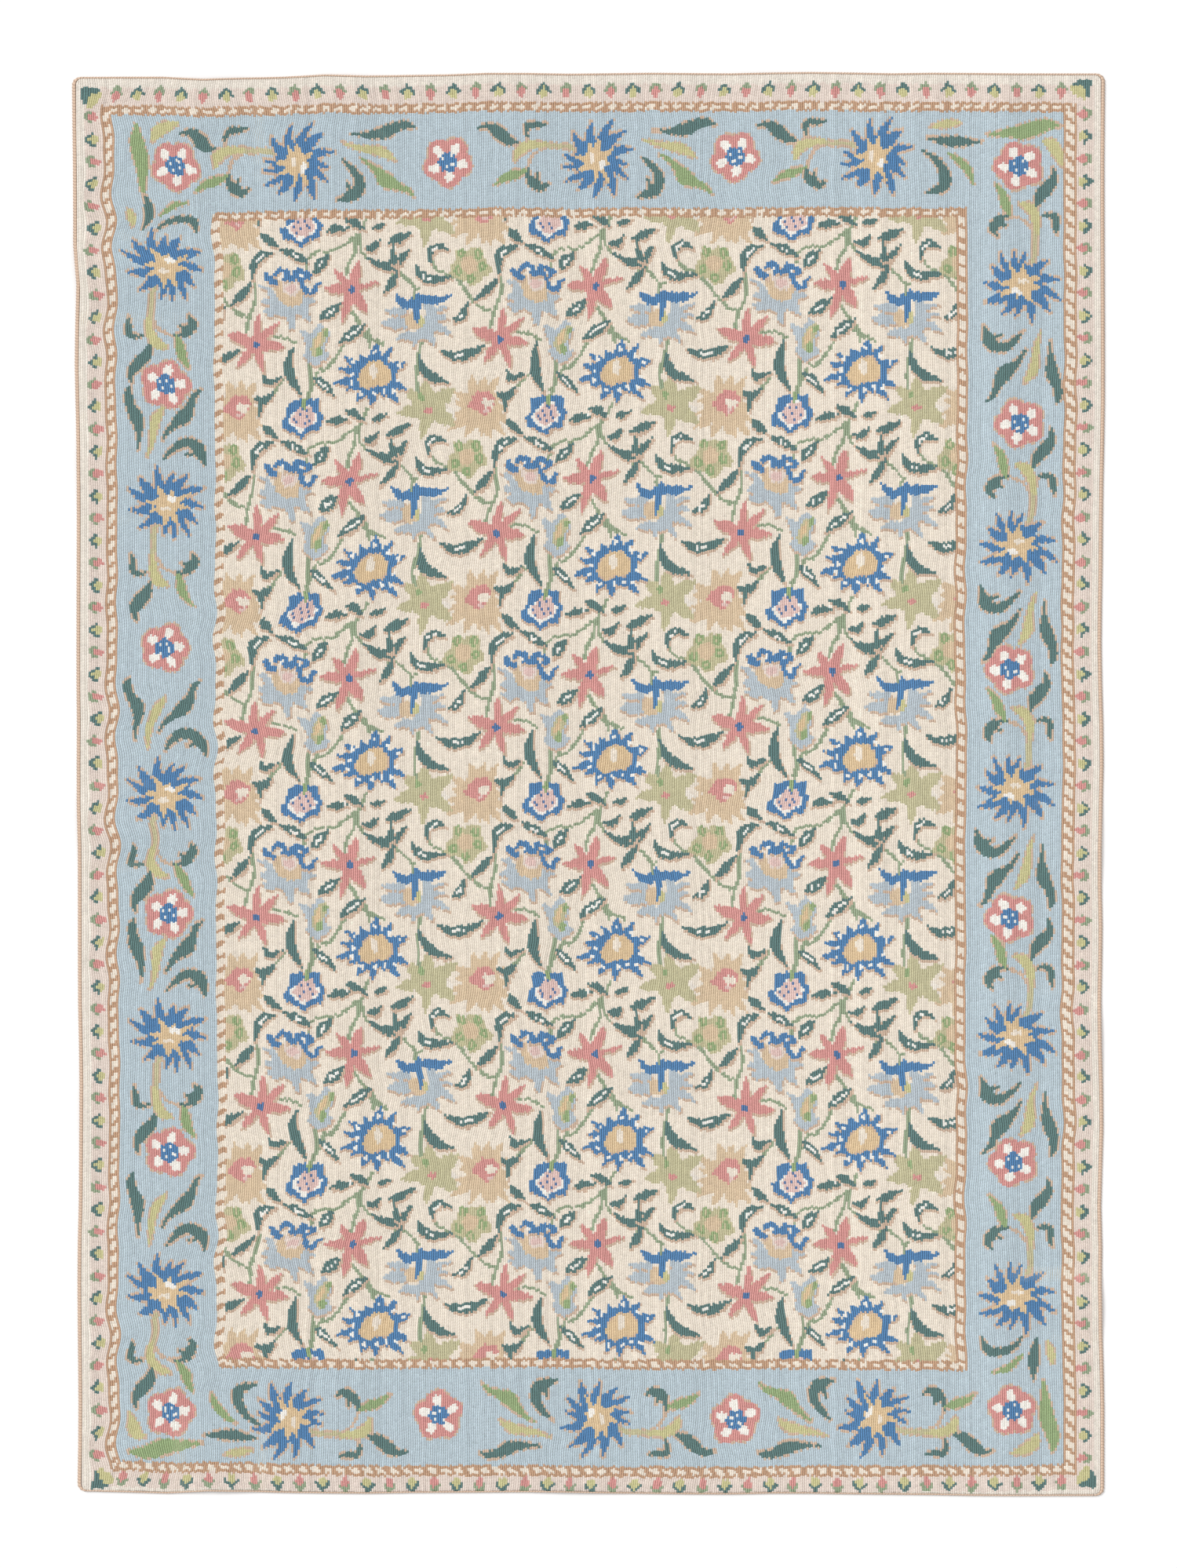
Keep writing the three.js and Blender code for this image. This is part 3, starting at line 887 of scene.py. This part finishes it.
class Finish:
    """A material made from nodes."""

    def __init__(self, name, constants):
        self.material = bpy.data.materials.new(name)
        self.material.use_nodes = True
        self.nodes = self.material.node_tree.nodes
        self.links = self.material.node_tree.links
        self.shader = self.nodes["Principled BSDF"]
        for socket, value in constants.items():
            self.shader.inputs[socket].default_value = value

    def node(self, kind, settings=None, sockets=None):
        """Adds a node of a type. Its settings go first, and then the values or links of its sockets."""
        made = self.nodes.new(kind)
        for name, value in (settings or {}).items():
            setattr(made, name, value)
        for name, value in (sockets or {}).items():
            self.feed(made.inputs[name], value)
        return Wire(self, made)

    def feed(self, socket, value):
        if isinstance(value, Wire):
            self.links.new(value.socket, socket)
        else:
            socket.default_value = value

    def mix(self, factor, first, second, blend="MIX"):
        """A mix of two colours."""
        settings = {"data_type": "RGBA", "blend_type": blend}
        return self.node("ShaderNodeMix", settings, {0: factor, 6: first, 7: second}).output(2)

    def uv(self, name):
        """The two directions of a UV map."""
        place = self.node("ShaderNodeUVMap", {"uv_map": name})
        split = self.node("ShaderNodeSeparateXYZ", {}, {0: place})
        return split, split.output("Y")

    def noise(self, scale, detail=2.0, roughness=0.5):
        place = self.node("ShaderNodeTexCoord").output("Object")
        sockets = {"Vector": place, "Scale": scale, "Detail": detail, "Roughness": roughness}
        return self.node("ShaderNodeTexNoise", {}, sockets)

    def surface(self, colour, height, strength, distance):
        """Feeds the shader a colour and a bump."""
        self.feed(self.shader.inputs["Base Color"], colour)
        bump = self.node("ShaderNodeBump", {}, {"Strength": strength, "Distance": distance, "Height": height})
        self.feed(self.shader.inputs["Normal"], bump)
        return self.material


def linear(colour, tone=1.0):
    """A screen colour as the linear colour with alpha that a socket takes."""
    return (*(min(max(c * tone, 0.0), 1.0) ** 2.2 for c in colour[:3]), 1.0)


MATT_WOOL = {"Roughness": 0.95, "Sheen Weight": 0.12, "Sheen Roughness": 0.6, "Specular IOR Level": 0.2}
# Tints of the shade painted into the wool between rows and between wraps
SHADE_BETWEEN_ROWS = (0.36, 0.31, 0.28, 1)
SHADE_BETWEEN_WRAPS = (0.34, 0.27, 0.22, 1)
WHITE = (1, 1, 1, 1)


def stitched_wool():
    """Chain stitch: along each row the wool's two strands slant in to the middle of every loop."""
    finish = Finish("stitched_wool", MATT_WOOL)
    wool = finish.node("ShaderNodeVertexColor", {"layer_name": "wool"})
    across, along = finish.uv("stitches")
    aside = abs(across * 2 - 1)
    strand = 1 - abs(((along + aside * 0.5) % 1) * 2 - 1)
    fibres = finish.noise(1400, 3.0, 0.65)
    valley = aside**3
    joint = (1 - strand) ** 3
    light = finish.node("ShaderNodeRGBToBW", {}, {0: wool})
    # Painted shade: the wool is darkened in the valleys between rows, less in lighter wool, and at the joints
    # of the loops
    shadow = valley * (1.77 - light * 1.5) + joint * 0.28
    colour = finish.mix(shadow, wool, SHADE_BETWEEN_ROWS, "MULTIPLY")
    colour = finish.mix(fibres * 0.16, colour, WHITE, "SOFT_LIGHT")
    height = strand * 0.8 + fibres * 0.5
    return finish.surface(colour, height, 0.55, 0.0008)


def whipped_wool(colour):
    """Wool wrapped closely over an edge: with painted shade between wraps, and streaked along the strands."""
    finish = Finish("edging_wool", MATT_WOOL)
    along, over = finish.uv("wraps")
    wrap = abs((along % 1) * 2 - 1)
    fibres = finish.noise(900, 3.0, 0.65)
    drift = finish.noise(22, 2.0)
    strands = abs(((along * 3 + fibres * 0.4) % 1) * 2 - 1)
    wool = finish.mix(drift, linear(colour, 0.92), linear(colour, 1.1))
    wool = finish.mix((over - 0.56) * 5, wool, linear(colour, 1.12))
    # Painted shade in the dips between wraps
    wool = finish.mix((1 - wrap) ** 3 * 0.7, wool, SHADE_BETWEEN_WRAPS, "MULTIPLY")
    wool = finish.mix(strands * 0.14, wool, (1, 0.97, 0.92, 1))
    return finish.surface(wool, strands * 0.5 + fibres * 0.5, 0.5, 0.0006)


def cotton_canvas(colour, pitch):
    """Plain woven cotton, with each thread passing over and under the next."""
    finish = Finish("canvas_cotton", {"Roughness": 0.9, "Specular IOR Level": 0.2})
    place = finish.node("ShaderNodeTexCoord").output("Object")
    split = finish.node("ShaderNodeSeparateXYZ", {}, {0: place})
    x, y = split / pitch, split.output("Y") / pitch
    warp, weft = abs((x % 1) * 2 - 1), abs((y % 1) * 2 - 1)
    over = abs((x.maths("FLOOR", x) + y.maths("FLOOR", y)) % 2)
    thread = (1 - warp**2) * over + (1 - weft**2) * (1 - over)
    slubs = finish.noise(240, 3.0)
    # Painted shade: the cotton is darker where each thread dips out of sight between its neighbours
    cotton = finish.mix(thread, linear(colour, 0.62), linear(colour))
    cotton = finish.mix(slubs * 0.3, cotton, linear(colour, 1.1))
    return finish.surface(cotton, thread + slubs * 0.4, 0.6, 0.0005)


def plain_floor(colour):
    finish = Finish("stage_floor", {"Roughness": 0.9, "Specular IOR Level": 0.1})
    finish.feed(finish.shader.inputs["Base Color"], linear(colour))
    return finish.material


# Meshes


def make_piece(name, points, faces, material, slot=None):
    """A smooth mesh object in the frame's own coordinates; a piece given a slot rides on the one body."""
    mesh = bpy.data.meshes.new(name)
    mesh.from_pydata(points, [], faces, shade_flat=False)
    mesh.materials.append(material)
    piece = bpy.data.objects.new(name, mesh)
    bpy.context.collection.objects.link(piece)
    if slot:
        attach(piece, "root")
    return piece


def add_uv(piece, name, u, v):
    corners = np.stack(np.broadcast_arrays(u, v), -1)
    piece.data.uv_layers.new(name=name).data.foreach_set("uv", corners.ravel())


def wander(across, down, settings):
    """How far the rows stray sideways at a place on the cloth. The edges stay straight."""
    free = smoothstep(np.minimum(across, 1 - across) * 60)
    wave = 0.6 * np.sin(2 * pi * (20.3 * down + 0.8 * np.sin(2 * pi * 1.1 * across)))
    wave = wave + 0.4 * np.sin(2 * pi * (31.7 * down + 1.9 * across))
    unevenness = 0.6 + 0.4 * np.sin(2 * pi * (2.3 * down + 1.7 * across))
    return wave * unevenness * free * lerp(settings.wander_left, settings.wander_right, across)


def stitch_colours(settings, yarns, phase):
    """The colour of every stitch, row by row."""
    names = list(type(yarns).__annotations__)
    row_pitch = CHART_WIDTH / settings.rows
    stitch_length = CHART_LENGTH / settings.stitches
    x = (np.arange(settings.rows)[:, None] + 0.5) * row_pitch
    y = (np.arange(settings.stitches + 1)[None, :] + 0.5 - phase[:, None]) * stitch_length
    x, y = np.broadcast_arrays(x, y)
    wool = work_chart(x, y, names)
    colours = np.array([getattr(yarns, name)[:] for name in names])[wool]
    rng = np.random.default_rng(21)
    tone = 1 + settings.row_drift * rng.standard_normal(settings.rows)[:, None]
    tone = tone + settings.stitch_drift * rng.standard_normal(wool.shape)
    return np.clip(colours * tone[..., None], 0, 1)


# Heights across a row and at its closed ends, as shares of its crest's
ROW_SECTION = np.array([0.06, 1, 0.06])
ROW_END = 0.01

# Columns that a bundle's rows are cut into on their map for baking, and the room left round each
BAKE_COLUMNS = 3
BAKE_ROOM = (0.02, 0.01)


def stitch_bundle(number, rows, outline, settings, phase, colours, material):
    """Some neighbouring rows, each a strip of its own."""
    stations = settings.stitches + 4
    across = (rows[:, None] + np.array([0, 0.5, 1])) / settings.rows
    down = np.clip((np.arange(stations) - 1 - phase[rows][:, None]) / settings.stitches, 0, 1)
    across, down = np.broadcast_arrays(across[:, None, :], down[:, :, None])
    x, y = outline.place(across, down)
    x = x + wander(across, down, settings)
    ends = np.arange(stations)[:, None] % (stations - 1) == 0
    ridge = settings.ridge_height * np.where(ends, ROW_END, ROW_SECTION)
    z = lift(x, y) + settings.ground_height + ridge
    points = np.stack([x, y, z], -1).reshape(-1, 3)

    index = np.arange(x.size).reshape(x.shape)
    faces = np.stack([index[:, :-1, :-1], index[:, 1:, :-1], index[:, 1:, 1:], index[:, :-1, 1:]], -1)
    piece = make_piece(f"stitch_rows_{number}", points, faces.reshape(-1, 4), material, "stitched_wool")

    row, station, half = np.ogrid[: len(rows), : stations - 1, :2]
    u = (half[..., None] + np.array([0, 0, 1, 1])) / 2
    v = station[..., None] + np.array([0, 1, 1, 0])
    add_uv(piece, "stitches", np.broadcast_to(u, (len(rows), stations - 1, 2, 4)), v)
    third = -(-stations // BAKE_COLUMNS)
    column = station[..., None] // third
    bake_u = BAKE_ROOM[0] + (1 - 2 * BAKE_ROOM[0]) * (row[..., None] + u) / len(rows)
    bake_v = BAKE_ROOM[1] + (1 - 2 * BAKE_ROOM[1]) * (v - column * third) / third
    add_uv(piece, "OFBake", (column + bake_u) / BAKE_COLUMNS, bake_v)

    wool = piece.data.color_attributes.new("wool", "BYTE_COLOR", "CORNER")
    rgba = np.ones((len(rows), stations - 1, 2, 4, 4))
    rgba[..., :3] = np.pad(colours[rows], ((0, 0), (1, 1), (0, 0)), "edge")[:, :, None, None, :]
    wool.data.foreach_set("color_srgb", rgba.ravel())
    return piece


def even_loop(points, spacing):
    """An even number of even stations along a closed line."""
    closed = np.vstack([points, points[:1]])
    runs = np.concatenate([[0], np.cumsum(np.hypot(*np.diff(closed, axis=0).T))])
    count = 2 * round(runs[-1] / spacing / 2)
    stops = np.arange(count) * runs[-1] / count
    return np.stack([np.interp(stops, runs, closed[:, i]) for i in (0, 1)], -1)


# The edging's cross-section: out is a share of its width and up a share of its height
EDGING_SECTION = table("out up", [
    (0.0, 0.0), (0.6, 0.0), (0.9, 0.1), (1.0, 0.32), (0.98, 0.58), (0.82, 0.84), (0.5, 0.98),
    (0.2, 0.99), (0.0, 0.86),
])

# How much narrower and lower the edging is between wraps, and how far a wrap leans, as shares
WRAP_PINCH = 0.16
WRAP_DIP = 0.10
WRAP_LEAN = 0.7


def whip_run(name, first, places, outward, width, edging, material):
    """One run of edging: a wrap of wool every second station, slanting over the edge."""
    out = np.array([row["out"] for row in EDGING_SECTION])
    up = np.array([row["up"] for row in EDGING_SECTION])
    count, sides = len(places), len(EDGING_SECTION)
    between = 1 - ((first + np.arange(count)) % 2)[:, None]
    ahead = np.stack([-outward[:, 1], outward[:, 0]], -1)
    places[-1] -= ahead[-1] * SEAM_GAP
    reach = SEAM_GAP + out[None, :] * width[:, None] * (1 - WRAP_PINCH * between)
    lean = edging.wrap * WRAP_LEAN * (up - 0.5)
    plan = places[:, None, :] + outward[:, None, :] * reach[..., None]
    plan = plan + ahead[:, None, :] * lean[None, :, None]
    z = lift(places[:, 0], places[:, 1])[:, None] + up[None, :] * edging.height * (1 - WRAP_DIP * between)
    points = np.concatenate([plan, z[..., None]], -1).reshape(-1, 3)
    index = np.arange(count * sides).reshape(count, sides)
    after = np.roll(index, -1, 1)
    quads = np.stack([index[:-1], index[1:], after[1:], after[:-1]], -1).reshape(-1, 4).tolist()
    caps = [list(index[0]), list(index[-1][::-1])]
    piece = make_piece(name, points, quads + caps, material, "edging_wool")
    station, side = np.meshgrid(np.arange(count - 1), np.arange(sides), indexing="ij")
    along = (first + station[..., None] + np.array([0, 1, 1, 0])) / 2
    over = (side[..., None] + np.array([0, 0, 1, 1])) / sides
    on_caps = np.zeros(2 * sides)
    add_uv(piece, "wraps", np.append(along, on_caps), np.append(over, on_caps))
    return piece


# Operators


class TAPESTRY_OT_canvas(bpy.types.Operator):
    """Lay the canvas ground that carries the stitching"""

    bl_idname = "tapestry.canvas"
    bl_label = "Lay Canvas"

    def execute(self, context):
        scene = context.scene
        height = scene.tapestry_stitching.ground_height
        canvas = scene.tapestry_canvas
        outline = Outline("stitched_cloth")
        corner = np.array([0, 0.3, 0.65, 1]) * CORNER_RADIUS
        lines = []
        for length in outline.high - outline.low:
            even = np.linspace(CORNER_RADIUS, length - CORNER_RADIUS, round(length / canvas.cell))[1:-1]
            lines.append(np.concatenate([corner, even, length - corner[::-1]]) / length)
        across, down = np.meshgrid(lines[0], lines[1])
        x, y = outline.place(across, down)
        low = lift(x, y)
        points = np.concatenate([np.stack([x, y, low + z], -1).reshape(-1, 3) for z in (0, height)])
        index = np.arange(x.size).reshape(x.shape)
        quads = np.stack([index[:-1, :-1], index[1:, :-1], index[1:, 1:], index[:-1, 1:]], -1).reshape(-1, 4)
        rim = np.concatenate([index[:-1, 0], index[-1, :-1], index[:0:-1, -1], index[0, :0:-1]])
        after = np.roll(rim, -1)
        walls = np.stack([rim, after, after + x.size, rim + x.size], -1)
        faces = np.concatenate([quads[:, ::-1], quads + x.size, walls])
        material = cotton_canvas(canvas.cotton, canvas.thread)
        piece = make_piece("canvas_ground", points, faces, material, "stitched_wool")
        piece.data.set_sharp_from_angle(angle=radians(40))
        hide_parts("stitched_cloth")
        return {"FINISHED"}


class TAPESTRY_OT_rows(bpy.types.Operator):
    """Stitch the rows of chain stitch from the chart"""

    bl_idname = "tapestry.rows"
    bl_label = "Stitch Rows"

    def execute(self, context):
        settings = context.scene.tapestry_stitching
        phase = np.random.default_rng(7).random(settings.rows)
        colours = stitch_colours(settings, context.scene.tapestry_yarns, phase)
        outline = Outline("stitched_cloth")
        material = stitched_wool()
        for number, rows in enumerate(np.array_split(np.arange(settings.rows), settings.bundles), 1):
            stitch_bundle(number, rows, outline, settings, phase, colours, material)
        return {"FINISHED"}


class TAPESTRY_OT_edging(bpy.types.Operator):
    """Whip the wool edging over the cut edge"""

    bl_idname = "tapestry.edging"
    bl_label = "Whip Edging"

    def execute(self, context):
        edging = context.scene.tapestry_edging
        places = even_loop(Outline("stitched_cloth").rim, edging.wrap / 2)
        smoothing = 3  # stations each way that the edge's direction is taken over
        ahead = np.roll(places, -smoothing, 0) - np.roll(places, smoothing, 0)
        ahead = ahead / np.hypot(*ahead.T)[:, None]
        outward = np.stack([ahead[:, 1], -ahead[:, 0]], -1)
        end_width = np.where(outward[:, 1] > 0, edging.top_width, edging.bottom_width)
        width = edging.side_width * outward[:, 0] ** 2 + end_width * outward[:, 1] ** 2
        material = whipped_wool(edging.wool)
        x, y = places.T
        at_ends = np.abs(x) < np.abs(x).max() - CORNER_RADIUS * 1.6
        for side, chosen in {
            "left": ~at_ends & (x < 0),
            "right": ~at_ends & (x > 0),
            "top": at_ends & (y > 0),
            "bottom": at_ends & (y < 0),
        }.items():
            start = np.flatnonzero(chosen & ~np.roll(chosen, 1))[0]
            run = (start + np.arange(chosen.sum() + 1)) % len(places)
            name = f"whipped_{side}"
            piece = whip_run(name, start, places[run], outward[run], width[run], edging, material)
            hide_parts(f"edging_{side}")
        return {"FINISHED"}


# Where the key light comes from, and how soft it is
KEY_DIRECTION = Vector((-0.62, 0.5, 0.72))
KEY_SPREAD = radians(24)


class TAPESTRY_OT_stage(bpy.types.Operator):
    """Set the floor, the lights and the camera"""

    bl_idname = "tapestry.stage"
    bl_label = "Set Stage"

    def execute(self, context):
        scene = context.scene
        stage = scene.tapestry_stage
        half = stage.floor_size / 2
        corners = [(-half, -half, 0), (half, -half, 0), (half, half, 0), (-half, half, 0)]
        floor = make_piece("stage_floor", corners, [(0, 1, 2, 3)], plain_floor(stage.floor))

        world = bpy.data.worlds.new("even_light")
        world.use_nodes = True
        sky = world.node_tree.nodes["Background"]
        sky.inputs["Color"].default_value = (1, 1, 1, 1)
        sky.inputs["Strength"].default_value = stage.sky_light
        scene.world = world

        light = bpy.data.lights.new("key_light", "SUN")
        light.energy = stage.key_light
        light.angle = KEY_SPREAD
        key = bpy.data.objects.new("key_light", light)
        key.rotation_euler = KEY_DIRECTION.to_track_quat("Z", "Y").to_euler()
        context.collection.objects.link(key)

        lens = bpy.data.cameras.new("camera")
        lens.sensor_fit = "VERTICAL"
        lens.sensor_height = 36
        lens.lens = lens.sensor_height * stage.camera_height / stage.view_height
        camera = bpy.data.objects.new("camera", lens)
        camera.location = (0, 0, stage.camera_height)
        context.collection.objects.link(camera)
        scene.camera = camera
        scene.view_settings.view_transform = "Standard"
        return {"FINISHED"}


class TAPESTRY_PT_panel(bpy.types.Panel):
    bl_label = "Chain Stitch Tapestry"
    bl_idname = "TAPESTRY_PT_panel"
    bl_space_type = "VIEW_3D"
    bl_region_type = "UI"
    bl_category = "Tapestry"

    def draw(self, context):
        for step in STEPS:
            self.layout.operator(step.bl_idname)
        for name, group in SETTINGS.items():
            box = self.layout.box()
            settings = getattr(context.scene, name)
            for item in group.__annotations__:
                box.prop(settings, item)


SETTINGS = {
    "tapestry_stitching": TapestryStitching,
    "tapestry_yarns": TapestryYarns,
    "tapestry_edging": TapestryEdging,
    "tapestry_canvas": TapestryCanvas,
    "tapestry_stage": TapestryStage,
}
STEPS = (TAPESTRY_OT_canvas, TAPESTRY_OT_rows, TAPESTRY_OT_edging, TAPESTRY_OT_stage)


def register():
    for cls in (*SETTINGS.values(), *STEPS, TAPESTRY_PT_panel):
        bpy.utils.register_class(cls)
    for name, group in SETTINGS.items():
        setattr(bpy.types.Scene, name, PointerProperty(type=group))


def unregister():
    for name in SETTINGS:
        delattr(bpy.types.Scene, name)
    for cls in reversed((*SETTINGS.values(), *STEPS, TAPESTRY_PT_panel)):
        bpy.utils.unregister_class(cls)


def main():
    register()
    bpy.ops.tapestry.canvas()
    bpy.ops.tapestry.rows()
    bpy.ops.tapestry.edging()
    bpy.ops.tapestry.stage()


if __name__ == "__main__":
    main()
